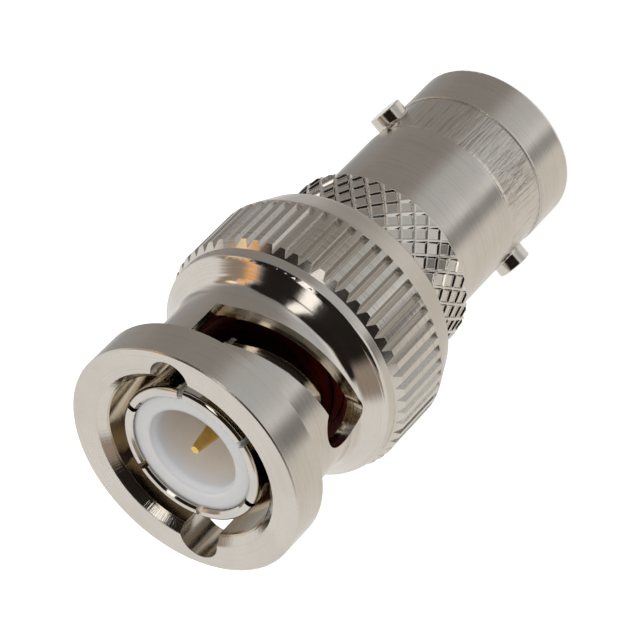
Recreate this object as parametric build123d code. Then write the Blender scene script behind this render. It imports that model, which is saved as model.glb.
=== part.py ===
from build123d import *
import math
import os

os.makedirs("parts", exist_ok=True)

# The jack's end face lies on z = 0 and the plug looks up along +Z. The studs lie on X. Millimetres.

# Jack shell, outside
shell_radius = 4.83
rim_round = 0.25
relief_start = 2.85
relief_width = 3.15
relief_depth = 0.06
relief_runout = 0.38
stud_radius = 0.975
stud_height = 4.4
stud_rise = 0.66
stud_edge = 0.04
band_start = 11.46
band_length = 4.64
band_rise = 0.71
band_chamfer = 0.14

# Diamond knurl on the band: crossing ridges with pockets between them
knurl_count = 34
knurl_pitch = 1.3
knurl_rows = 7
knurl_first_row = -0.08
knurl_angle = -50.6
knurl_ridge_width = 0.06
knurl_depth = 0.13
knurl_wall_run = 0.1
knurl_overshoot = 0.02

# Jack shell, inside
shell_bore_radius = 4.06
shell_bore_depth = 8.4
mouth_chamfer = 0.15
land_bore_radius = 2.9
land_thickness = 0.8
bead_radius = 3.3
bead_length = 2.8

# Plug body with its spring fingers
finger_root_gap = 0.04
finger_spring = 0.06
finger_wall = 0.47
bead_flange_step = 0.2
bead_flange_length = 1.2
shank_wall = 0.35
flange_thickness = 1.1
finger_bulge_length = 1.7
finger_bulge_land = 0.3
finger_round = 0.27
finger_mouth_chamfer = 0.12
finger_count = 6
finger_slot_width = 0.34
finger_length = 4.9
finger_slot_angle = -43.0

# Gasket and the spring stack behind the flange
gasket_thickness = 1.1
gasket_squeeze = 0.3
washer_thickness = 0.25
wave_thickness = 0.14
wave_stack_height = 1.35
wave_count = 3

# Coupling ring, measured back from its front face
ring_length = 14.75
ring_setback = 0.48
ring_mouth_chamfer = 0.47
ring_flange_radius = 6.87
ring_flange_thickness = 2.25
ring_flange_chamfer = 0.07
neck_wall = 0.75
fillet_start = 6.85
fillet_length = 0.9
fillet_rise = 0.5
cone_end = 8.22
shoulder_step = 0.2
collar_start = 8.55
grip_start = 8.97
grip_bevel_length = 0.44
grip_step = 0.32
grip_radius = 7.22
flute_count = 56
flute_angle = -0.4
flute_depth = 0.26
flute_top_width = 0.47
flute_bottom_width = 0.04
flute_end = 12.95
flute_runout = 0.14
taper_start = 12.95
taper_depth = 0.72
rear_round = 0.3
lip_thickness = 0.9

# Bayonet slots in the coupling ring
slot_angle = -42.0
slot_turn = 90.0
slot_sides = 2
entry_radius = 1.14
entry_offset = 0.29
entry_depth = 5.87
ramp_width = 2.8
ramp_end_width = 2.1
ramp_start = 4.47
ramp_rise = 2.0
detent_radius = 1.43
detent_depth = 6.1
ramp_sections = 7

# Insulators
dielectric_radius = 2.35
dielectric_setback = 3.3
plug_dielectric_setback = 0.24
plug_dielectric_bore = 2.475
plug_dielectric_depth = 5.2
plug_dielectric_lip = 0.17
plug_dielectric_lead = 0.5

# Contacts
pin_radius = 0.675
pin_stem_radius = 0.85
pin_tip_radius = 0.225
pin_setback = 0.5
pin_taper_length = 3.2
pin_shoulder_radius = 1.1
pin_shoulder_length = 2.0
pin_tail_radius = 0.5
pin_tail_length = 1.5
socket_radius = 1.05
socket_bore_radius = 0.68
socket_bore_depth = 5.2
socket_setback = 0.2
socket_slot_width = 0.3
socket_slot_depth = 4.2
socket_collar_radius = 1.4
socket_collar_length = 2.4

# Gaps between pieces, across the axis unless said otherwise
seat_gap = 0.02  # along the axis
running_gap = 0.03  # along the axis
contact_gap = 0.03
insulator_gap = 0.02
flex_gap = 0.07
mating_gap = 0.07
flange_gap = 0.06
gasket_gap = 0.1
washer_gap = 0.08
washer_bore_gap = 0.06
wave_inset = 0.06
wave_bore_gap = 0.1
lip_clearance = 0.08
rear_bore_clearance = 0.1

# Largest share of a wall that a chamfer or a rounding may take, and how far a cut reaches past the metal
edge_share = 0.5
cut_margin = 0.5
flute_overshoot = 0.1

# Radii that follow from the sizes above
band_radius = shell_radius + band_rise
finger_root_radius = shell_bore_radius - finger_root_gap
finger_tip_radius = shell_bore_radius + finger_spring
tube_bore_radius = finger_root_radius - finger_wall
bead_flange_radius = tube_bore_radius + bead_flange_step
shank_radius = bead_flange_radius + shank_wall
plug_dielectric_radius = tube_bore_radius - insulator_gap
ring_bore_radius = shell_radius + mating_gap
flange_radius = ring_bore_radius - flange_gap
gasket_outer_radius = ring_bore_radius - gasket_gap
washer_outer_radius = ring_bore_radius - washer_gap
washer_bore_radius = shank_radius + washer_bore_gap
wave_outer_radius = washer_outer_radius - wave_inset
wave_bore_radius = shank_radius + wave_bore_gap
neck_radius = ring_bore_radius + neck_wall
collar_radius = grip_radius - grip_step
cone_outer_radius = collar_radius - shoulder_step
flute_floor_radius = grip_radius - flute_depth

# Heights that follow from the sizes above
land_top = shell_bore_depth + land_thickness
bead_top = land_top + bead_length
shell_top = band_start + band_length
lip_bottom = shell_top + running_gap
lip_top = lip_bottom + lip_thickness
rear_washer_bottom = lip_top + seat_gap
wave_bottom = rear_washer_bottom + washer_thickness
wave_top = wave_bottom + wave_stack_height
flange_bottom = wave_top + washer_thickness
flange_top = flange_bottom + flange_thickness
gasket_top = flange_top + gasket_thickness
finger_tip = gasket_top - gasket_squeeze + shell_bore_depth
ring_front = finger_tip + ring_setback
ring_rear = ring_front - ring_length
plug_dielectric_top = finger_tip - plug_dielectric_setback


def turned(points):
    """A solid of revolution about Z from (radius, height) corners."""
    outline = Polyline(*[(r, 0, z) for r, z in points], close=True)
    return revolve(make_face(outline), Axis.Z, 360)


def tube(bore, outer, low, high):
    """A plain ring between two radii and two heights."""
    return turned([(bore, low), (outer, low), (outer, high), (bore, high)])


def around(shape, count):
    """Copies of a shape, evenly spaced about Z."""
    return [Rot(0, 0, 360 / count * i) * shape for i in range(count)]


def radial_bar(radius, inner, outer, height, angle):
    """A round bar that points outward from the axis at a height and an angle."""
    bar = Cylinder(radius, outer - inner, align=(Align.CENTER, Align.CENTER, Align.MIN))
    return Rot(0, 0, angle) * Pos(inner, 0, height) * Rot(0, 90, 0) * bar


def radial_slot(width, inner, outer, low, high, angle):
    """A straight slot that reaches outward from the axis, between two heights."""
    block = Box(outer - inner, width, high - low, align=(Align.MIN, Align.CENTER, Align.MIN))
    return Rot(0, 0, angle) * Pos(inner, 0, low) * block


def knurl_pocket():
    """The space of one diamond pocket, a cut-off pyramid that points at the axis from the X side."""
    half_wide = math.pi * band_radius / knurl_count
    half_high = knurl_pitch / 2
    side_to_side = 2 * half_wide * half_high / math.hypot(half_wide, half_high)
    wall_slope = knurl_wall_run / knurl_depth

    def diamond(rise):
        inset = knurl_ridge_width / 2 - wall_slope * rise
        share = 1 - 2 * inset / side_to_side
        wide = half_wide * share
        high = half_high * share
        radius = band_radius + rise
        corners = [(0, -high), (wide, 0), (0, high), (-wide, 0)]
        return Wire.make_polygon([(radius, y, z) for y, z in corners], close=True)

    return Solid.make_loft([diamond(-knurl_depth), diamond(knurl_overshoot)], ruled=True)


def knurl():
    """All diamond pockets of the band, row by row, every other row turned by half a pocket."""
    pockets = []
    for row in range(knurl_rows):
        height = band_start + knurl_first_row + knurl_pitch / 2 * row
        turn = knurl_angle + 180 / knurl_count * ((row + 1) % 2)
        pockets += around(Rot(0, 0, turn) * Pos(0, 0, height) * knurl_pocket(), knurl_count)
    return pockets


def jack_shell():
    """The jack's body: outer conductor, two bayonet studs, relief band and knurled band."""
    relief_radius = shell_radius - relief_depth
    relief_end = relief_start + relief_width
    wall = shell_radius - shell_bore_radius
    rounding = min(rim_round, edge_share * wall)
    mouth = min(mouth_chamfer, edge_share * (wall - rounding))
    with BuildPart() as body:
        with BuildSketch(Plane.XZ):
            with BuildLine():
                rim = CenterArc((shell_radius - rounding, rounding), rounding, -90, 90)
                Line((shell_bore_radius + mouth, 0), rim @ 0)
                outside = Polyline(
                    rim @ 1,
                    (shell_radius, relief_start),
                    (relief_radius, relief_start + relief_depth),
                    (relief_radius, relief_end - relief_runout),
                    (shell_radius, relief_end),
                    (shell_radius, band_start),
                    (band_radius - band_chamfer, band_start),
                    (band_radius, band_start + band_chamfer),
                    (band_radius, shell_top),
                    (shank_radius, shell_top),
                    (shank_radius, bead_top),
                    (bead_radius, bead_top),
                    (bead_radius, land_top),
                    (land_bore_radius, land_top),
                    (land_bore_radius, shell_bore_depth),
                    (shell_bore_radius, shell_bore_depth),
                    (shell_bore_radius, mouth),
                )
                Line(outside @ 1, (shell_bore_radius + mouth, 0))
            make_face()
        revolve(axis=Axis.Z)
    shape = body.part - knurl()
    middle = (shell_bore_radius + shell_radius) / 2
    for angle in (0, 180):
        stud = radial_bar(stud_radius, middle, shell_radius + stud_rise, stud_height, angle)
        end_edge = stud.edges().filter_by(GeomType.CIRCLE).sort_by(lambda e: e.center().X ** 2)[-1]
        shape += chamfer(end_edge, stud_edge)
    return shape


def plug_body():
    """Outer contact with spring fingers, the gasket's flange and the shank pressed into the jack shell."""
    bulge_top = finger_tip - finger_round
    bulge_bottom = bulge_top - finger_bulge_land
    mouth = min(finger_mouth_chamfer, edge_share * (finger_tip_radius - finger_round - tube_bore_radius))
    with BuildPart() as body:
        with BuildSketch(Plane.XZ):
            with BuildLine():
                tip = CenterArc((finger_tip_radius - finger_round, bulge_top), finger_round, 0, 90)
                outside = Polyline(
                    (bead_flange_radius, bead_top),
                    (shank_radius, bead_top),
                    (shank_radius, flange_bottom),
                    (flange_radius, flange_bottom),
                    (flange_radius, flange_top),
                    (finger_root_radius, flange_top),
                    (finger_root_radius, bulge_bottom - finger_bulge_length),
                    (finger_tip_radius, bulge_bottom),
                    tip @ 0,
                )
                Polyline(
                    tip @ 1,
                    (tube_bore_radius + mouth, finger_tip),
                    (tube_bore_radius, finger_tip - mouth),
                    (tube_bore_radius, bead_top + bead_flange_length),
                    (bead_flange_radius, bead_top + bead_flange_length),
                    outside @ 0,
                )
            make_face()
        revolve(axis=Axis.Z)
    slot = radial_slot(
        finger_slot_width,
        tube_bore_radius - cut_margin,
        finger_tip_radius + cut_margin,
        finger_tip - finger_length,
        finger_tip + cut_margin,
        finger_slot_angle,
    )
    return body.part - around(slot, finger_count)


def arc_over(run, rise):
    """Radius and angle of an arc that leaves a straight line and climbs by rise along a run."""
    radius = (run ** 2 + rise ** 2) / (2 * rise)
    return radius, math.degrees(math.atan2(run, radius - rise))


def ring_blank():
    """The coupling ring as turned, before its slots and flutes are cut."""
    def level(depth):
        return ring_front - depth

    rise = min(fillet_rise, edge_share * (cone_outer_radius - neck_radius))
    root_radius, root_turn = arc_over(fillet_length, rise)
    edge_radius, edge_turn = arc_over(collar_start - cone_end, shoulder_step)
    rear_bore = band_radius + rear_bore_clearance
    taper = min(taper_depth, edge_share * (grip_radius - rear_bore))
    rounding = min(rear_round, edge_share * (grip_radius - taper - rear_bore))
    lip_bore = shank_radius + lip_clearance
    with BuildPart() as blank:
        with BuildSketch(Plane.XZ) as section:
            with BuildLine():
                root_centre = (neck_radius + root_radius, level(fillet_start))
                root = CenterArc(root_centre, root_radius, 180, root_turn)
                edge_centre = (collar_radius - edge_radius, level(collar_start))
                edge = CenterArc(edge_centre, edge_radius, edge_turn, -edge_turn)
                front = Polyline(
                    (ring_bore_radius, level(ring_mouth_chamfer)),
                    (ring_bore_radius + ring_mouth_chamfer, level(0)),
                    (ring_flange_radius - ring_flange_chamfer, level(0)),
                    (ring_flange_radius, level(ring_flange_chamfer)),
                    (ring_flange_radius, level(ring_flange_thickness)),
                    (neck_radius, level(ring_flange_thickness)),
                    root @ 0,
                )
                Line(root @ 1, edge @ 0)
                Polyline(
                    edge @ 1,
                    (collar_radius, level(grip_start)),
                    (grip_radius, level(grip_start + grip_bevel_length)),
                    (grip_radius, level(taper_start)),
                    (grip_radius - taper, ring_rear),
                    (rear_bore, ring_rear),
                    (rear_bore, lip_bottom),
                    (lip_bore, lip_bottom),
                    (lip_bore, lip_top),
                    (ring_bore_radius, lip_top),
                    front @ 0,
                )
            make_face()
            rear_corner = section.vertices().group_by(Axis.Y)[0].sort_by(Axis.X)[-1]
            fillet(rear_corner, rounding)
        revolve(axis=Axis.Z)
    return blank.part


def bayonet_slot():
    """The space of one bayonet slot: axial entry, helical ramp and the round detent at its end."""
    inner = ring_bore_radius - cut_margin
    outer = ring_flange_radius
    entry = Pos(0, 0, ring_front - entry_depth) * Cylinder(
        entry_radius, entry_depth + cut_margin, align=(Align.CENTER, Align.CENTER, Align.MIN)
    )
    entry = Rot(0, 0, slot_angle) * Pos(ring_bore_radius + entry_offset, 0, 0) * entry
    sections = []
    for i in range(ramp_sections):
        share = i / (ramp_sections - 1)
        turn = math.radians(slot_angle - slot_turn * share)
        middle = ring_front - ramp_start - ramp_rise * share
        half = (ramp_width + (ramp_end_width - ramp_width) * share) / 2
        corners = [(inner, -1), (outer, -1), (outer, 1), (inner, 1)]
        places = [
            (r * math.cos(turn), r * math.sin(turn), middle + side * half) for r, side in corners
        ]
        sections.append(Wire.make_polygon(places, close=True))
    ramp = Solid.make_loft(sections)
    detent_height = ring_front - detent_depth
    detent = radial_bar(detent_radius, inner, outer, detent_height, slot_angle - slot_turn)
    return [entry, ramp, detent]


def flute():
    """The space of one grip flute: an open V with a narrow floor, running out at its rear end."""
    front = ring_front - grip_start
    low = ring_front - flute_end
    top_radius = grip_radius + flute_overshoot
    slope = (flute_top_width - flute_bottom_width) / flute_depth
    top_width = flute_bottom_width + slope * (top_radius - flute_floor_radius)
    bottom_low = low + flute_runout
    half = flute_bottom_width / 2
    bottom = [(-half, bottom_low), (half, bottom_low), (half, front), (-half, front)]
    half = top_width / 2
    top = [(-half, low), (half, low), (half, front), (-half, front)]
    wires = [
        Wire.make_polygon([(flute_floor_radius, y, z) for y, z in bottom], close=True),
        Wire.make_polygon([(top_radius, y, z) for y, z in top], close=True),
    ]
    return Solid.make_loft(wires, ruled=True)


def coupling_ring():
    """The bayonet ring with its two slots and its fluted grip."""
    ring = ring_blank() - around(Rot(0, 0, flute_angle) * flute(), flute_count)
    for space in bayonet_slot():
        ring -= around(space, slot_sides)
    return ring


def gasket():
    """The flat sealing ring in front of the plug body's flange."""
    return tube(finger_root_radius + contact_gap, gasket_outer_radius, flange_top, gasket_top)


def flat_washer(low):
    """One of the two flat washers on either side of the wave washers."""
    return tube(washer_bore_radius, washer_outer_radius, low, low + washer_thickness)


def wave_washer(low, flip):
    """A thin spring washer whose height rises and falls about the axis."""
    swing = (wave_stack_height / 2 - wave_thickness) / 2
    steps = 8 * wave_count
    rims = []
    for radius in (wave_bore_radius, wave_outer_radius):
        points = []
        for i in range(steps):
            turn = 2 * math.pi * i / steps
            height = low + swing + flip * swing * math.cos(wave_count * turn)
            points.append((radius * math.cos(turn), radius * math.sin(turn), height))
        rims.append(Edge.make_spline(points, periodic=True))
    face = Face.make_surface_from_curves(rims[0], rims[1])
    return Solid.extrude(face, Vector(0, 0, wave_thickness))


def wave_washers():
    """Two wave washers, crest to crest."""
    lower = wave_washer(wave_bottom, 1)
    upper = wave_washer(wave_bottom + wave_stack_height / 2, -1)
    return Compound(children=[lower, upper])


def plug_insulator():
    """The plug's dielectric: a deep cup round the pin, with a flange trapped behind the shank's shoulder."""
    floor = plug_dielectric_top - plug_dielectric_depth
    lip_radius = plug_dielectric_bore + plug_dielectric_lip
    pin_hole = pin_stem_radius + contact_gap
    shoulder_hole = pin_shoulder_radius + contact_gap
    flange_top_face = bead_top + bead_flange_length
    return turned(
        [
            (shoulder_hole, bead_top),
            (bead_flange_radius - contact_gap, bead_top),
            (bead_flange_radius - contact_gap, flange_top_face),
            (plug_dielectric_radius, flange_top_face),
            (plug_dielectric_radius, plug_dielectric_top),
            (lip_radius, plug_dielectric_top),
            (plug_dielectric_bore, plug_dielectric_top - plug_dielectric_lead),
            (plug_dielectric_bore, floor),
            (pin_hole, floor),
            (pin_hole, bead_top + pin_shoulder_length),
            (shoulder_hole, bead_top + pin_shoulder_length),
        ]
    )


def jack_insulator():
    """The jack's dielectric: a long nose round the socket contact and a base trapped behind the land."""
    socket_hole = socket_radius + flex_gap
    collar_hole = socket_collar_radius + contact_gap
    collar_bottom = bead_top - socket_collar_length
    return turned(
        [
            (socket_hole, dielectric_setback),
            (dielectric_radius, dielectric_setback),
            (dielectric_radius, shell_bore_depth),
            (land_bore_radius - contact_gap, shell_bore_depth),
            (land_bore_radius - contact_gap, land_top),
            (bead_radius - contact_gap, land_top),
            (bead_radius - contact_gap, bead_top),
            (collar_hole, bead_top),
            (collar_hole, collar_bottom),
            (socket_hole, collar_bottom),
        ]
    )


def pin_contact():
    """The plug's centre pin, with a long taper, a trapped shoulder and a tail in the socket contact."""
    tip = finger_tip - pin_setback
    shoulder_top = bead_top + pin_shoulder_length
    stem_top = plug_dielectric_top - plug_dielectric_depth
    return turned(
        [
            (0, bead_top - pin_tail_length),
            (pin_tail_radius, bead_top - pin_tail_length),
            (pin_tail_radius, bead_top),
            (pin_shoulder_radius, bead_top),
            (pin_shoulder_radius, shoulder_top),
            (pin_stem_radius, shoulder_top),
            (pin_stem_radius, stem_top),
            (pin_radius, stem_top),
            (pin_radius, tip - pin_taper_length),
            (pin_tip_radius, tip),
            (0, tip),
        ]
    )


def socket_contact():
    """The jack's centre contact: a slit sleeve at the front and a collar that takes the pin's tail."""
    front = dielectric_setback + socket_setback
    collar_bottom = bead_top - socket_collar_length
    tail_hole_radius = pin_tail_radius + contact_gap
    tail_hole_bottom = bead_top - pin_tail_length - contact_gap
    edge = (socket_radius - socket_bore_radius) / 3
    body = turned(
        [
            (socket_bore_radius + edge, front),
            (socket_radius - edge, front),
            (socket_radius, front + edge),
            (socket_radius, collar_bottom),
            (socket_collar_radius, collar_bottom),
            (socket_collar_radius, bead_top),
            (tail_hole_radius, bead_top),
            (tail_hole_radius, tail_hole_bottom),
            (0, tail_hole_bottom),
            (0, front + socket_bore_depth),
            (socket_bore_radius, front + socket_bore_depth),
            (socket_bore_radius, front + edge),
        ]
    )
    slit = Pos(0, 0, front - cut_margin) * Box(
        2 * (socket_radius + cut_margin),
        socket_slot_width,
        socket_slot_depth + cut_margin,
        align=(Align.CENTER, Align.CENTER, Align.MIN),
    )
    return body - slit


nodes = {
    "jack_shell": jack_shell(),
    "plug_body": plug_body(),
    "coupling_ring": coupling_ring(),
    "gasket": gasket(),
    "flat_washer_rear": flat_washer(rear_washer_bottom),
    "wave_washers": wave_washers(),
    "flat_washer_front": flat_washer(wave_top),
    "plug_insulator": plug_insulator(),
    "jack_insulator": jack_insulator(),
    "pin_contact": pin_contact(),
    "socket_contact": socket_contact(),
}

for name, shape in nodes.items():
    export_step(shape, "parts/" + name + ".step")
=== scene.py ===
import math
import bpy
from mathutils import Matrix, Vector


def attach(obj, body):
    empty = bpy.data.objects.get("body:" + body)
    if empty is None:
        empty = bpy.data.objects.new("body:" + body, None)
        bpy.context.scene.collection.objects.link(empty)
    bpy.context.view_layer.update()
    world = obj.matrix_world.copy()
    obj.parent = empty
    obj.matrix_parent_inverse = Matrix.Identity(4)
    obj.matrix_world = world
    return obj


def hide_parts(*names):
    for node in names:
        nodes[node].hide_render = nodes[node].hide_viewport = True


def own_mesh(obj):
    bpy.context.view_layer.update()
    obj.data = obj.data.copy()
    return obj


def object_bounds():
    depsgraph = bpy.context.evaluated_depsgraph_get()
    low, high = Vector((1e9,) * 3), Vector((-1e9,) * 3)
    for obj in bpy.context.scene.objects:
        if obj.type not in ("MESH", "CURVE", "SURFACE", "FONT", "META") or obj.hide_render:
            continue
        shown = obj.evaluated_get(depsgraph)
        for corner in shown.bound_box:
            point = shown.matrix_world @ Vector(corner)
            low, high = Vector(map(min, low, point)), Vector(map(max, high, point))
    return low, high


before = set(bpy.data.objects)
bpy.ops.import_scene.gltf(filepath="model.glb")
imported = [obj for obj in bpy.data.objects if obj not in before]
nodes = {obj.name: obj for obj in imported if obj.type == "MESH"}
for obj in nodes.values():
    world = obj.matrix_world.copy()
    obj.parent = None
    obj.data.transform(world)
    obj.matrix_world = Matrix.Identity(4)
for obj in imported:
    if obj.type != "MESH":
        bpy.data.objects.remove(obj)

cadLow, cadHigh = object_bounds()
middle = (cadLow + cadHigh) / 2
mm = 0.001
print("frame loaded:", len(nodes), "nodes")


# small helpers for placing lamps and wiring nodes
def direction(azimuth, elevation):
    a = math.radians(azimuth)
    e = math.radians(elevation)
    return Vector((math.cos(a) * math.cos(e), math.sin(a) * math.cos(e), math.sin(e)))


def addNode(tree, kind, x, y, **values):
    node = tree.nodes.new(kind)
    node.location = (x, y)
    for name, value in values.items():
        setattr(node, name, value)
    return node


def wire(tree, value, socket):
    if isinstance(value, bpy.types.NodeSocket):
        tree.links.new(value, socket)
    else:
        socket.default_value = value  # a plain number, colour or vector


def maths(tree, operation, first, second, x, y, clamp=False):
    node = addNode(tree, "ShaderNodeMath", x, y, operation=operation, use_clamp=clamp)
    wire(tree, first, node.inputs[0])
    wire(tree, second, node.inputs[1])
    return node.outputs[0]


def ease(tree, value, start, end, x, y, low=0.0, high=1.0):
    node = addNode(tree, "ShaderNodeMapRange", x, y, interpolation_type="SMOOTHSTEP")
    for socket, given in zip(node.inputs, (value, start, end, low, high)):
        wire(tree, given, socket)
    return node.outputs[0]


def mixValues(tree, factor, first, second, x, y):
    node = addNode(tree, "ShaderNodeMix", x, y, data_type="FLOAT")
    wire(tree, factor, node.inputs[0])
    wire(tree, first, node.inputs[2])
    wire(tree, second, node.inputs[3])
    return node.outputs[0]


def mixColors(tree, factor, first, second, x, y):
    node = addNode(tree, "ShaderNodeMix", x, y, data_type="RGBA")
    wire(tree, factor, node.inputs[0])
    wire(tree, first, node.inputs[6])  # the mix node's colour sockets come after its plain ones
    wire(tree, second, node.inputs[7])
    return node.outputs[2]


def newGroup(name, inputs, outputs):
    group = bpy.data.node_groups.new(name, "ShaderNodeTree")
    for label, kind, value in inputs:
        socket = group.interface.new_socket(name=label, in_out="INPUT", socket_type=kind)
        if value is not None:
            socket.default_value = value
    for label in outputs:
        kind = "NodeSocketVector" if label == "Normal" else "NodeSocketFloat"
        group.interface.new_socket(name=label, in_out="OUTPUT", socket_type=kind)
    return group, addNode(group, "NodeGroupInput", -1400, 0), addNode(group, "NodeGroupOutput", 600, 0)


def useGroup(tree, group, x, y, **values):
    node = addNode(tree, "ShaderNodeGroup", x, y, node_tree=group)
    for name, value in values.items():
        wire(tree, value, node.inputs[name])
    return node.outputs


# the camera, fitted to the circles of the ring and the jack
cameraSetup = {
    "place": (0.025701, -0.173011, 0.155627),
    "turn": (-42.1432, 33.1457, -140.4269),
    "lens": 241.35,
    "sensor": 36,
}
cameraData = bpy.data.cameras.new("camera")
cameraData.lens = cameraSetup["lens"]
cameraData.sensor_width = cameraSetup["sensor"]
camera = bpy.data.objects.new("camera", cameraData)
bpy.context.scene.collection.objects.link(camera)
camera.location = cameraSetup["place"]
camera.rotation_euler = [math.radians(angle) for angle in cameraSetup["turn"]]
bpy.context.scene.camera = camera
bpy.context.scene.view_settings.view_transform = "Standard"
print("camera placed")

# the studio: what bright metal mirrors, as soft round patches in a white room, in degrees
dimCorner = (0.35, 0.28, 0.22)
darkCeiling = (0.016, 0.013, 0.011)
studio = {
    "plain": (0.5, 0.5, 0.5),
    "white": (0.9, 0.9, 0.9),
    "patches": [
        {"towards": (56, -36), "inner": 8, "outer": 24, "color": (0.37, 0.37, 0.37)},
        {"towards": (168, -38), "inner": 26, "outer": 50, "color": (0.79, 0.76, 0.715)},
        {"towards": (-10, -34), "inner": 26, "outer": 60, "color": (0.31, 0.29, 0.275)},
        {"towards": (-20, -4), "inner": 14, "outer": 40, "color": (0.29, 0.29, 0.29)},
        {"towards": (-84, -24), "inner": 8, "outer": 34, "color": (0.52, 0.545, 0.565)},
        {"towards": (-131, -34), "inner": 4, "outer": 16, "color": (0.18, 0.18, 0.175)},
        # a dim corner beside the ceiling, and a dim wall on its other side
        {"towards": (20, 12), "inner": 4, "outer": 12, "color": dimCorner},
        {"towards": (19, 26), "inner": 4, "outer": 12, "color": dimCorner},
        {"towards": (18, 39), "inner": 4, "outer": 12, "color": dimCorner},
        {"towards": (-160, 46), "inner": 10, "outer": 20, "color": (0.36, 0.3, 0.25)},
        # the dark ceiling, and its lower edge
        {"towards": (-70, 49), "inner": 42, "outer": 52, "color": darkCeiling},
        {"towards": (-27, 28), "inner": 18, "outer": 26, "color": darkCeiling},
        {"towards": (-80, 27), "inner": 18, "outer": 26, "color": darkCeiling},
        {"towards": (-125, 28), "inner": 17, "outer": 25, "color": darkCeiling},
        # a warm strip of light beside the ceiling
        {"towards": (8, 44), "inner": 2, "outer": 6, "color": (1.15, 0.5, 0.09)},
        {"towards": (5, 32), "inner": 2, "outer": 6, "color": (1.2, 0.56, 0.11)},
        {"towards": (12, 17), "inner": 3, "outer": 7, "color": (1.5, 1.15, 0.7)},
        {"towards": (2, 20), "inner": 2, "outer": 6, "color": (1.2, 0.55, 0.13)},
    ],
    "lamps": [
        # sizes in metres, power in watts; the strip shows in the metal, the soft lamp doesn't
        {"name": "strip", "towards": (-56, 37), "width": 0.1, "height": 0.52,
         "power": 0.25, "mirrored": True, "color": (1.0, 0.985, 0.96)},
        {"name": "soft", "towards": (-40, 60), "width": 0.4, "height": 0.4,
         "power": 1.0, "mirrored": False, "color": (1.0, 0.99, 0.97)},
    ],
    "lampDistance": 0.5,
}


# one round patch laid over what was seen so far
def patch(tree, source, seen, spec, y):
    dot = addNode(tree, "ShaderNodeVectorMath", -1100, y, operation="DOT_PRODUCT")
    wire(tree, source, dot.inputs[0])
    wire(tree, direction(*spec["towards"]), dot.inputs[1])
    outer = math.cos(math.radians(spec["outer"]))
    inner = math.cos(math.radians(spec["inner"]))
    inside = ease(tree, dot.outputs["Value"], outer, inner, -900, y)
    return mixColors(tree, inside, seen, (*spec["color"], 1), -650, y)


world = bpy.data.worlds.new("studio")
bpy.context.scene.world = world
world.use_nodes = True
tree = world.node_tree
tree.nodes.clear()
coordinates = addNode(tree, "ShaderNodeTexCoord", -1400, 0)
seen = (*studio["white"], 1)
for i, spec in enumerate(studio["patches"]):
    seen = patch(tree, coordinates.outputs["Generated"], seen, spec, 100 - 220 * i)
# metal mirrors the patches, matt surfaces are lit plainly, and camera and clear rays see white
rays = addNode(tree, "ShaderNodeLightPath", -650, 500)
mirrored = mixColors(tree, rays.outputs["Is Glossy Ray"], (*studio["plain"], 1), seen, -350, 200)
direct = maths(tree, "MAXIMUM", rays.outputs["Is Camera Ray"], rays.outputs["Is Transmission Ray"], -350, 450)
background = addNode(tree, "ShaderNodeBackground", 100, 200)
wire(tree, mixColors(tree, direct, mirrored, (1, 1, 1, 1), -100, 200), background.inputs["Color"])
output = addNode(tree, "ShaderNodeOutputWorld", 300, 200)
wire(tree, background.outputs[0], output.inputs[0])

for spec in studio["lamps"]:
    data = bpy.data.lights.new(spec["name"], "AREA")
    data.shape = "RECTANGLE"
    data.size = spec["width"]
    data.size_y = spec["height"]
    data.energy = spec["power"]
    data.color = spec["color"]
    lamp = bpy.data.objects.new(spec["name"], data)
    lamp.visible_glossy = spec["mirrored"]
    bpy.context.scene.collection.objects.link(lamp)
    back = direction(*spec["towards"])
    lamp.location = middle + back * studio["lampDistance"]
    lamp.rotation_euler = back.to_track_quat("Z", "Y").to_euler()

# pale floor: its own light is for the camera alone, so it lights nothing, and the shadow stays
floorSetup = {"radius": 1.5, "corners": 64, "color": (0.86, 0.86, 0.86, 1), "lift": 0.62}
bpy.ops.object.select_all(action="DESELECT")
bpy.ops.mesh.primitive_circle_add(
    vertices=floorSetup["corners"], radius=floorSetup["radius"], fill_type="NGON", location=(0, 0, 0)
)
floor = bpy.context.object
floor.name = "floor"
floor.visible_glossy = False
material = bpy.data.materials.new("paleFloor")
material.use_nodes = True
tree = material.node_tree
tree.nodes.clear()
paper = addNode(tree, "ShaderNodeBsdfDiffuse", -300, 100)
paper.inputs["Color"].default_value = floorSetup["color"]
rays = addNode(tree, "ShaderNodeLightPath", -700, -100)
glow = addNode(tree, "ShaderNodeEmission", -300, -100)
lift = maths(tree, "MULTIPLY", rays.outputs["Is Camera Ray"], floorSetup["lift"], -500, -100)
wire(tree, lift, glow.inputs["Strength"])
both = addNode(tree, "ShaderNodeAddShader", 0, 0)
wire(tree, paper.outputs[0], both.inputs[0])
wire(tree, glow.outputs[0], both.inputs[1])
output = addNode(tree, "ShaderNodeOutputMaterial", 200, 0)
wire(tree, both.outputs[0], output.inputs[0])
floor.data.materials.append(material)
print("studio lit")


# shared effects, each built once; lengths in millimetres
effects = {
    "drift": 0.02,  # how far a lathe line wanders on its way round
    "bandTimes": 9.0,  # slow bands are this much wider than the lines
    "lineDetail": 3.0,
    "scratchRadius": 5,
    "scratchRoughness": 0.6,
    "cloudEdges": (0.35, 0.65),
    "speckEdges": (0.72, 0.8),
    "edgeEdges": (0.985, 0.8),  # the turn of the normal, as a cosine
    "edgeSamples": 6,
    "cutEdges": (0.5, 0.3),
    "leastRoughness": 0.03,
    "zoneSoft": 0.04,
}
vectorIn = ("Vector", "NodeSocketVector", None)


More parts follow.
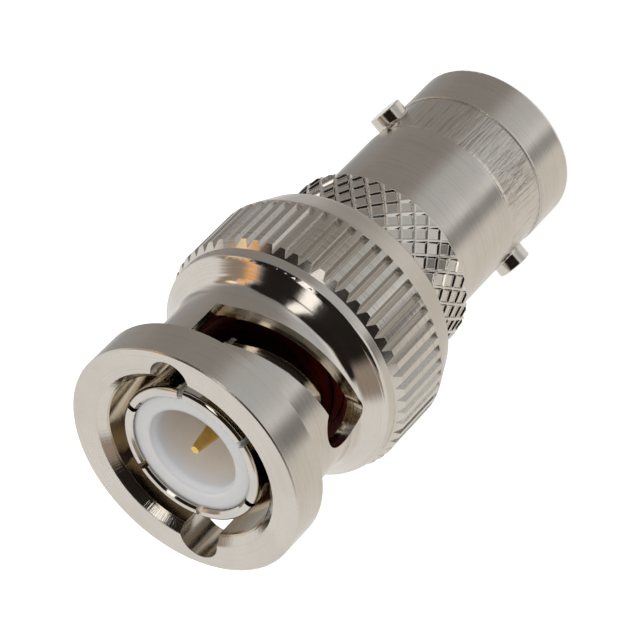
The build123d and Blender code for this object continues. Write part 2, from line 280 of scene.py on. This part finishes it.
# distance from the axis, and height along it
def buildPlace():
    group, into, out = newGroup("axisPlace", [vectorIn], ["Radius", "Height"])
    flat = addNode(group, "ShaderNodeVectorMath", -900, 100, operation="MULTIPLY")
    wire(group, into.outputs["Vector"], flat.inputs[0])
    wire(group, (1, 1, 0), flat.inputs[1])
    length = addNode(group, "ShaderNodeVectorMath", -600, 100, operation="LENGTH")
    wire(group, flat.outputs[0], length.inputs[0])
    wire(group, length.outputs["Value"], out.inputs["Radius"])
    split = addNode(group, "ShaderNodeSeparateXYZ", -600, -100)
    wire(group, into.outputs["Vector"], split.inputs[0])
    wire(group, split.outputs["Z"], out.inputs["Height"])
    return group


# rings left by the lathe: fine across the cut, slow round the part
def buildTurning(place):
    group, into, out = newGroup(
        "turningMarks",
        [vectorIn, ("Pitch", "NodeSocketFloat", 0.1 * mm)],
        ["Lines", "Bands"],
    )
    spot = useGroup(group, place, -1100, 200, Vector=into.outputs["Vector"])
    split = addNode(group, "ShaderNodeSeparateXYZ", -1100, -100)
    wire(group, into.outputs["Vector"], split.inputs[0])
    drift = effects["drift"]
    joined = addNode(group, "ShaderNodeCombineXYZ", -800, 100)
    wire(group, spot["Radius"], joined.inputs[0])
    wire(group, spot["Height"], joined.inputs[1])
    wire(group, maths(group, "MULTIPLY", split.outputs["X"], drift, -950, -60), joined.inputs[2])
    depth = maths(group, "MULTIPLY", split.outputs["Y"], drift, -950, -220)
    for label, times, y in (("Lines", 1.0, 200), ("Bands", effects["bandTimes"], -100)):
        pitch = maths(group, "MULTIPLY", into.outputs["Pitch"], times, -800, y - 100)
        finer = maths(group, "DIVIDE", 1.0, pitch, -620, y - 100)
        scaled = addNode(group, "ShaderNodeVectorMath", -440, y, operation="SCALE")
        wire(group, joined.outputs[0], scaled.inputs[0])
        wire(group, finer, scaled.inputs["Scale"])
        noise = addNode(group, "ShaderNodeTexNoise", -200, y, noise_dimensions="4D")
        wire(group, scaled.outputs[0], noise.inputs["Vector"])
        wire(group, maths(group, "MULTIPLY", depth, finer, -440, y - 160), noise.inputs["W"])
        noise.inputs["Scale"].default_value = 1.0
        noise.inputs["Detail"].default_value = effects["lineDetail"]
        wire(group, noise.outputs["Fac"], out.inputs[label])
    return group


# scratches that run along the part, or outwards on its faces, as a cutter leaves them
def buildLengthwise(place):
    group, into, out = newGroup(
        "lengthwiseMarks",
        [vectorIn, ("Pitch", "NodeSocketFloat", 0.1 * mm), ("Stretch", "NodeSocketFloat", 12.0)],
        ["Lines"],
    )
    spot = useGroup(group, place, -1200, -200, Vector=into.outputs["Vector"])
    flat = addNode(group, "ShaderNodeVectorMath", -1200, 100, operation="MULTIPLY")
    wire(group, into.outputs["Vector"], flat.inputs[0])
    wire(group, (1, 1, 0), flat.inputs[1])
    outward = addNode(group, "ShaderNodeVectorMath", -1050, 100, operation="NORMALIZE")
    wire(group, flat.outputs[0], outward.inputs[0])
    ringwise = addNode(group, "ShaderNodeVectorMath", -900, 100, operation="SCALE")
    wire(group, outward.outputs[0], ringwise.inputs[0])
    ringwise.inputs["Scale"].default_value = effects["scratchRadius"] * mm
    along = maths(group, "SUBTRACT", spot["Height"], spot["Radius"], -1050, -200)
    lift = addNode(group, "ShaderNodeCombineXYZ", -800, -200)
    wire(group, maths(group, "DIVIDE", along, into.outputs["Stretch"], -900, -200), lift.inputs[2])
    joined = addNode(group, "ShaderNodeVectorMath", -650, 100, operation="ADD")
    wire(group, ringwise.outputs[0], joined.inputs[0])
    wire(group, lift.outputs[0], joined.inputs[1])
    scaled = addNode(group, "ShaderNodeVectorMath", -450, 100, operation="SCALE")
    wire(group, joined.outputs[0], scaled.inputs[0])
    wire(group, maths(group, "DIVIDE", 1.0, into.outputs["Pitch"], -650, -100), scaled.inputs["Scale"])
    noise = addNode(group, "ShaderNodeTexNoise", -200, 100)
    wire(group, scaled.outputs[0], noise.inputs["Vector"])
    noise.inputs["Scale"].default_value = 1.0
    noise.inputs["Detail"].default_value = effects["lineDetail"]
    noise.inputs["Roughness"].default_value = effects["scratchRoughness"]
    wire(group, noise.outputs["Fac"], out.inputs["Lines"])
    return group


# uneven plating and handling: slow clouds, a fine grain and a few specks
def buildClouds():
    group, into, out = newGroup(
        "platingClouds",
        [vectorIn, ("Size", "NodeSocketFloat", 3 * mm)],
        ["Cloud", "Grain", "Specks"],
    )
    scaled = addNode(group, "ShaderNodeVectorMath", -900, 0, operation="SCALE")
    wire(group, into.outputs["Vector"], scaled.inputs[0])
    wire(group, maths(group, "DIVIDE", 1.0, into.outputs["Size"], -1100, -100), scaled.inputs["Scale"])
    kinds = (("Cloud", 1.0, 4.0, 300), ("Grain", 45.0, 2.0, 0), ("Specks", 14.0, 0.0, -300))
    for label, scale, detail, y in kinds:
        noise = addNode(group, "ShaderNodeTexNoise", -600, y)
        wire(group, scaled.outputs[0], noise.inputs["Vector"])
        noise.inputs["Scale"].default_value = scale
        noise.inputs["Detail"].default_value = detail
        value = noise.outputs["Fac"]
        if label == "Cloud":
            value = ease(group, value, *effects["cloudEdges"], -300, y)
        if label == "Specks":
            value = ease(group, value, *effects["speckEdges"], -300, y)
        wire(group, value, out.inputs[label])
    return group


# worn edges and painted edge highlights: where the normal turns within a short reach
def buildEdges():
    group, into, out = newGroup("edgeWearAndHighlight", [("Reach", "NodeSocketFloat", 0.04 * mm)], ["Edge", "Normal"])
    bevel = addNode(group, "ShaderNodeBevel", -900, 0, samples=effects["edgeSamples"])
    wire(group, into.outputs["Reach"], bevel.inputs["Radius"])
    geometry = addNode(group, "ShaderNodeNewGeometry", -900, -200)
    dot = addNode(group, "ShaderNodeVectorMath", -600, -100, operation="DOT_PRODUCT")
    wire(group, bevel.outputs[0], dot.inputs[0])
    wire(group, geometry.outputs["Normal"], dot.inputs[1])
    wire(group, ease(group, dot.outputs["Value"], *effects["edgeEdges"], -300, -100), out.inputs["Edge"])
    wire(group, bevel.outputs[0], out.inputs["Normal"])
    return group


place = buildPlace()
turning = buildTurning(place)
lengthwise = buildLengthwise(place)
clouds = buildClouds()
edges = buildEdges()
print("shared effects built")


# one where height and radius are both within a zone's limits, in millimetres
def zoneMask(tree, spot, zone, x, y):
    soft = zone.get("soft", effects["zoneSoft"]) * mm
    mask = None
    for label, limits in (("Height", zone.get("height")), ("Radius", zone.get("radius"))):
        for limit, (before, after) in zip(limits or (), ((0.0, 1.0), (1.0, 0.0))):
            low, high = limit * mm - soft, limit * mm + soft
            part = ease(tree, spot[label], low, high, x, y, before, after)
            mask = part if mask is None else maths(tree, "MULTIPLY", mask, part, x + 200, y)
            y -= 60
    return mask


# plated metal; a zone changes the finish where its mask is one, and a zone's tint paints shade and reflection
# into the colour
def makeMetal(name, look):
    material = bpy.data.materials.new(name)
    material.use_nodes = True
    tree = material.node_tree
    shader = tree.nodes["Principled BSDF"]
    shader.location = (600, 0)
    tree.nodes["Material Output"].location = (900, 0)
    shader.inputs["Metallic"].default_value = 1.0
    vector = addNode(tree, "ShaderNodeTexCoord", -2200, 0).outputs["Object"]
    spot = useGroup(tree, place, -2000, 300, Vector=vector)
    rings = useGroup(tree, turning, -2000, 100, Vector=vector, Pitch=look["pitch"] * mm)
    cloud = useGroup(tree, clouds, -2000, -100, Vector=vector, Size=look["cloudSize"] * mm)
    roughness = look["roughness"]
    depth = look["depth"] * mm
    reach = look["edgeReach"] * mm
    cuts = look["cuts"]
    wearAndHighlight = look["wearAndHighlight"]
    lines = rings["Lines"]
    paintedShades = []
    for i, zone in enumerate(look.get("zones", ())):
        mask = zoneMask(tree, spot, zone, -1700, 900 - 300 * i)
        if zone.get("lengthwise"):
            scratches = useGroup(
                tree, lengthwise, -1700, -500,
                Vector=vector, Pitch=zone["pitch"] * mm, Stretch=zone["stretch"],
            )
            lines = mixValues(tree, mask, lines, scratches["Lines"], -1200, 200 - 200 * i)
        roughness = mixValues(tree, mask, roughness, zone["roughness"], -1200, 900 - 200 * i)
        depth = mixValues(tree, mask, depth, zone["depth"] * mm, -1000, 900 - 200 * i)
        if "reach" in zone:
            reach = mixValues(tree, mask, reach, zone["reach"] * mm, -1000, -300 - 200 * i)
        if "cuts" in zone:
            cuts = mixValues(tree, mask, cuts, zone["cuts"], -1000, -1000 - 200 * i)
        if "wearAndHighlight" in zone:
            wearAndHighlight = mixValues(tree, mask, wearAndHighlight, zone["wearAndHighlight"], -800, -1000 - 200 * i)
        if "tint" in zone:
            paintedShades.append((mask, zone["tint"]))
    edge = useGroup(tree, edges, -800, -300, Reach=reach)
    # colour: plating clouds and specks, the zones' painted shade and painted reflection, a darker tone in the
    # cuts, edges painted brighter as wear and as painted highlight
    tint = mixColors(tree, cloud["Cloud"], (*look["color"], 1), (*look["cloudColor"], 1), -700, 200)
    for i, (mask, paintedShadeColor) in enumerate(paintedShades):
        tint = mixColors(tree, mask, tint, (*paintedShadeColor, 1), -600, 400 + 150 * i)
    bits = maths(tree, "MULTIPLY", cloud["Specks"], look["specks"], -900, 0)
    tint = mixColors(tree, bits, tint, (*look["speckColor"], 1), -500, 200)
    cuts = ease(tree, lines, *effects["cutEdges"], -900, -150, 0.0, cuts)
    tint = mixColors(tree, cuts, tint, (*look["cutColor"], 1), -300, 200)
    # edges painted brighter: partly wear, partly painted highlight, near white on the jack's knurl
    wornAndHighlit = maths(tree, "MULTIPLY", edge["Edge"], wearAndHighlight, -500, -300)
    tint = mixColors(tree, wornAndHighlit, tint, (*look["wearAndHighlightColor"], 1), -100, 200)
    wire(tree, tint, shader.inputs["Base Color"])
    # roughness: the lines, clouds and grain all move it a little
    spread = maths(tree, "SUBTRACT", lines, 0.5, -700, -500)
    rough = maths(tree, "MULTIPLY_ADD", spread, look["lineRoughness"], -500, -500)
    wire(tree, roughness, rough.node.inputs[2])
    uneven = maths(tree, "MULTIPLY_ADD", cloud["Cloud"], look["cloudRoughness"], -300, -500)
    wire(tree, rough, uneven.node.inputs[2])
    grain = maths(tree, "SUBTRACT", cloud["Grain"], 0.5, -300, -650)
    grainy = maths(tree, "MULTIPLY_ADD", grain, look["grainRoughness"], -100, -500, True)
    wire(tree, uneven, grainy.node.inputs[2])
    least = effects["leastRoughness"]
    wire(tree, maths(tree, "MAXIMUM", grainy, least, 100, -500), shader.inputs["Roughness"])
    # height in metres: the cutting marks and a fine grain
    height = maths(tree, "MULTIPLY", lines, depth, -300, -800)
    rise = maths(tree, "MULTIPLY_ADD", cloud["Grain"], look["grainDepth"] * mm, -100, -800)
    wire(tree, height, rise.node.inputs[2])
    bump = addNode(tree, "ShaderNodeBump", 300, -700)
    bump.inputs["Distance"].default_value = 1.0
    wire(tree, rise, bump.inputs["Height"])
    wire(tree, edge["Normal"], bump.inputs["Normal"])
    wire(tree, bump.outputs[0], shader.inputs["Normal"])
    return material


def dress(name, material):
    mesh = nodes[name].data
    mesh.materials.clear()
    mesh.materials.append(material)


# nickel plate of the jack: smooth neck, milled band round the studs, polished studs, crisp knurl
# lengths in millimetres; height is from the jack's end and radius from the axis
jackShell = {
    "color": (0.68, 0.635, 0.575), "cloudColor": (0.65, 0.605, 0.545), "cutColor": (0.42, 0.38, 0.33),
    "speckColor": (0.36, 0.31, 0.26), "wearAndHighlightColor": (0.94, 0.92, 0.88),
    "roughness": 0.2, "pitch": 0.09, "depth": 0.0012, "cloudSize": 2.4, "edgeReach": 0.025,
    "cuts": 0.2, "specks": 0.1, "wearAndHighlight": 0.25,
    "lineRoughness": 0.05, "cloudRoughness": 0.05, "grainRoughness": 0.08, "grainDepth": 0.002,
    "zones": [
        # the milled band, its step, the studs, the knurl and the inside
        {"height": (2.85, 5.9), "radius": (4.6, 4.86), "soft": 0.1,
         "roughness": 0.08, "depth": 0.06, "cuts": 0.8,
         "lengthwise": True, "pitch": 0.17, "stretch": 16.0},
        {"height": (2.78, 2.92), "radius": (4.6, 4.86), "roughness": 0.35, "depth": 0.03, "reach": 0.09},
        {"height": (0.5, 8.0), "radius": (4.86, 6.0), "roughness": 0.05, "depth": 0.0},
        # the knurl's edges get the full brightening, a painted highlight on its ridges
        {"height": (11.3, 16.2), "radius": (4.9, 6.0), "roughness": 0.05, "depth": 0.0004,
         "reach": 0.05, "wearAndHighlight": 1.0},
        {"height": (-1.0, 9.0), "radius": (-1.0, 4.3), "roughness": 0.28, "depth": 0.002},
    ],
}
dress("jack_shell", makeMetal("nickelJack", jackShell))

# nickel plate of the ring: satin flange and neck, mirror shoulder, ground grip
couplingRing = {
    "color": (0.68, 0.635, 0.575), "cloudColor": (0.645, 0.6, 0.54), "cutColor": (0.4, 0.36, 0.31),
    "speckColor": (0.36, 0.31, 0.26), "wearAndHighlightColor": (0.8, 0.765, 0.71),
    "roughness": 0.2, "pitch": 0.1, "depth": 0.0012, "cloudSize": 2.8, "edgeReach": 0.03,
    "cuts": 0.15, "specks": 0.08, "wearAndHighlight": 0.2,
    "lineRoughness": 0.05, "cloudRoughness": 0.05, "grainRoughness": 0.08, "grainDepth": 0.0018,
    "zones": [
        # the face, the shoulder, the grip's lands, the flutes' ends and the rear rim
        {"height": (29.6, 30.0), "roughness": 0.27, "depth": 0.0012},
        {"height": (21.2, 22.6), "radius": (5.3, 7.2), "roughness": 0.08, "depth": 0.005},
        {"height": (17.0, 20.3), "radius": (7.08, 7.4), "roughness": 0.13, "depth": 0.008, "cuts": 0.5},
        {"height": (16.5, 17.02), "radius": (6.6, 7.19), "roughness": 0.42, "depth": 0.001, "reach": 0.1},
        # the rear rim is painted darker: painted shade on its rounded band
        {"height": (14.5, 16.7), "radius": (6.3, 7.5), "soft": 0.15,
         "roughness": 0.2, "depth": 0.001, "reach": 0.3, "tint": (0.55, 0.5, 0.44)},
        # the mouth's chamfer and the bore
        {"height": (29.15, 29.64), "radius": (4.85, 5.45), "roughness": 0.08, "depth": 0.008,
         "lengthwise": True, "pitch": 0.1, "stretch": 20.0},
        # the bore is painted a darker warm olive: painted reflection inside it
        {"height": (14.0, 29.3), "radius": (-1.0, 5.2), "roughness": 0.09, "depth": 0.001,
         "tint": (0.58, 0.5, 0.38)},
    ],
}
dress("coupling_ring", makeMetal("nickelRing", couplingRing))

# brighter plate of the sprung tube and the washers
plugBody = {
    "color": (0.68, 0.64, 0.58), "cloudColor": (0.64, 0.6, 0.545), "cutColor": (0.36, 0.33, 0.29),
    "speckColor": (0.3, 0.26, 0.22), "wearAndHighlightColor": (0.82, 0.79, 0.74),
    "roughness": 0.05, "pitch": 0.07, "depth": 0.0008, "cloudSize": 1.8, "edgeReach": 0.02,
    "cuts": 0.15, "specks": 0.1, "wearAndHighlight": 0.2,
    "lineRoughness": 0.05, "cloudRoughness": 0.03, "grainRoughness": 0.03, "grainDepth": 0.0003,
}
brightNickel = makeMetal("nickelSpring", plugBody)
for name in ("plug_body", "flat_washer_rear", "flat_washer_front"):
    dress(name, brightNickel)

# plain bronze of the wave washers; spare is the room left when they are flat
waveWashers = {
    "color": (0.6, 0.42, 0.25), "cloudColor": (0.52, 0.35, 0.19), "cutColor": (0.3, 0.18, 0.1),
    "speckColor": (0.2, 0.11, 0.06), "wearAndHighlightColor": (0.76, 0.58, 0.38),
    "roughness": 0.22, "pitch": 0.12, "depth": 0.0012, "cloudSize": 1.5, "edgeReach": 0.04,
    "cuts": 0.3, "specks": 0.7, "wearAndHighlight": 0.6,
    "lineRoughness": 0.1, "cloudRoughness": 0.08, "grainRoughness": 0.08, "grainDepth": 0.001,
    "joint": "ring_slide", "spare": 0.03, "weld": 0.0001, "smoothBelow": 30,
}
dress("wave_washers", makeMetal("springBronze", waveWashers))

# a welded, smooth-shaded copy, attached to the connector's body, stands for the wave washers
waves = bpy.data.objects.new("wave_springs", nodes["wave_washers"].data.copy())
bpy.context.scene.collection.objects.link(waves)
bpy.ops.object.select_all(action="DESELECT")
waves.select_set(True)
bpy.context.view_layer.objects.active = waves
bpy.ops.object.mode_set(mode="EDIT")
bpy.ops.mesh.select_all(action="SELECT")
bpy.ops.mesh.remove_doubles(threshold=waveWashers["weld"] * mm)
bpy.ops.object.mode_set(mode="OBJECT")
bpy.ops.object.shade_smooth_by_angle(angle=math.radians(waveWashers["smoothBelow"]))
waves.select_set(False)
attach(waves, "connector_body")
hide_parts("wave_washers")
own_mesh(waves)

# gold plate of both centre contacts
pinContact = {
    "color": (0.84, 0.58, 0.17), "cloudColor": (0.78, 0.52, 0.14), "cutColor": (0.52, 0.31, 0.07),
    "speckColor": (0.4, 0.22, 0.05), "wearAndHighlightColor": (0.95, 0.76, 0.38),
    "roughness": 0.16, "pitch": 0.06, "depth": 0.0012, "cloudSize": 1.0, "edgeReach": 0.03,
    "cuts": 0.3, "specks": 0.4, "wearAndHighlight": 0.5,
    "lineRoughness": 0.1, "cloudRoughness": 0.06, "grainRoughness": 0.05, "grainDepth": 0.0005,
}
goldPlate = makeMetal("goldPlate", pinContact)
for name in ("pin_contact", "socket_contact"):
    dress(name, goldPlate)
print("metals finished")


# soft plain stuff: clouds in the colour, zones of painted shade, faint lathe lines, a fine grain
def makePlain(name, look):
    material = bpy.data.materials.new(name)
    material.use_nodes = True
    tree = material.node_tree
    shader = tree.nodes["Principled BSDF"]
    shader.location = (600, 0)
    shader.inputs["Subsurface Weight"].default_value = look["scatter"]
    shader.inputs["Subsurface Radius"].default_value = look["scatterRadius"]
    shader.inputs["Subsurface Scale"].default_value = look["scatterScale"] * mm
    shader.inputs["IOR"].default_value = look["ior"]
    vector = addNode(tree, "ShaderNodeTexCoord", -1600, 0).outputs["Object"]
    rings = useGroup(tree, turning, -1400, 100, Vector=vector, Pitch=look["pitch"] * mm)
    cloud = useGroup(tree, clouds, -1400, -100, Vector=vector, Size=look["cloudSize"] * mm)
    edge = useGroup(tree, edges, -1400, -300, Reach=look["edgeReach"] * mm)
    tint = mixColors(tree, cloud["Cloud"], (*look["color"], 1), (*look["cloudColor"], 1), -700, 200)
    if "zones" in look:
        spot = useGroup(tree, place, -1400, 300, Vector=vector)
        for i, zone in enumerate(look["zones"]):
            mask = zoneMask(tree, spot, zone, -1200, 500 + 300 * i)
            tint = mixColors(tree, mask, tint, (*zone["tint"], 1), -600, 400 + 150 * i)
    bits = maths(tree, "MULTIPLY", cloud["Specks"], look["specks"], -900, 0)
    tint = mixColors(tree, bits, tint, (*look["speckColor"], 1), -500, 200)
    wire(tree, tint, shader.inputs["Base Color"])
    spread = maths(tree, "SUBTRACT", rings["Bands"], 0.5, -700, -300)
    rough = maths(tree, "MULTIPLY_ADD", spread, look["lineRoughness"], -500, -300)
    wire(tree, look["roughness"], rough.node.inputs[2])
    wire(tree, rough, shader.inputs["Roughness"])
    height = maths(tree, "MULTIPLY", rings["Lines"], look["depth"] * mm, -500, -600)
    rise = maths(tree, "MULTIPLY_ADD", cloud["Grain"], look["grainDepth"] * mm, -300, -600)
    wire(tree, height, rise.node.inputs[2])
    bump = addNode(tree, "ShaderNodeBump", 300, -500)
    bump.inputs["Distance"].default_value = 1.0
    wire(tree, rise, bump.inputs["Height"])
    wire(tree, edge["Normal"], bump.inputs["Normal"])
    wire(tree, bump.outputs[0], shader.inputs["Normal"])
    return material


# waxy white dielectric of both ends
insulators = {
    "color": (0.78, 0.8, 0.84), "cloudColor": (0.76, 0.78, 0.815), "speckColor": (0.62, 0.62, 0.62),
    "roughness": 0.38, "pitch": 0.12, "depth": 0.0012, "cloudSize": 2.0, "grainDepth": 0.0008,
    "specks": 0.15, "lineRoughness": 0.12, "ior": 1.36, "edgeReach": 0.25,
    "zones": [
        # painted warm shade deep in the cup, and painted grey shade on its flat end
        {"height": (24.0, 27.8), "soft": 0.8, "tint": (0.82, 0.765, 0.705)},
        {"height": (28.8, 29.4), "soft": 0.12, "tint": (0.68, 0.675, 0.675)},
    ],
    "scatter": 0.85, "scatterRadius": (1.0, 1.0, 1.0), "scatterScale": 0.8,
}
whitePlastic = makePlain("waxyWhite", insulators)
for name in ("plug_insulator", "jack_insulator"):
    dress(name, whitePlastic)

# dark red rubber of the seal
gasketLook = {
    "color": (0.27, 0.027, 0.023), "cloudColor": (0.2, 0.018, 0.015), "speckColor": (0.34, 0.14, 0.12),
    "roughness": 0.42, "pitch": 0.2, "depth": 0.002, "cloudSize": 1.2, "grainDepth": 0.0015,
    "specks": 0.3, "lineRoughness": 0.1, "ior": 1.41, "edgeReach": 0.05,
    "scatter": 0.1, "scatterRadius": (1.0, 0.2, 0.1), "scatterScale": 0.3,
}
dress("gasket", makePlain("redSilicone", gasketLook))
print("finishes given to all", len(nodes), "nodes")
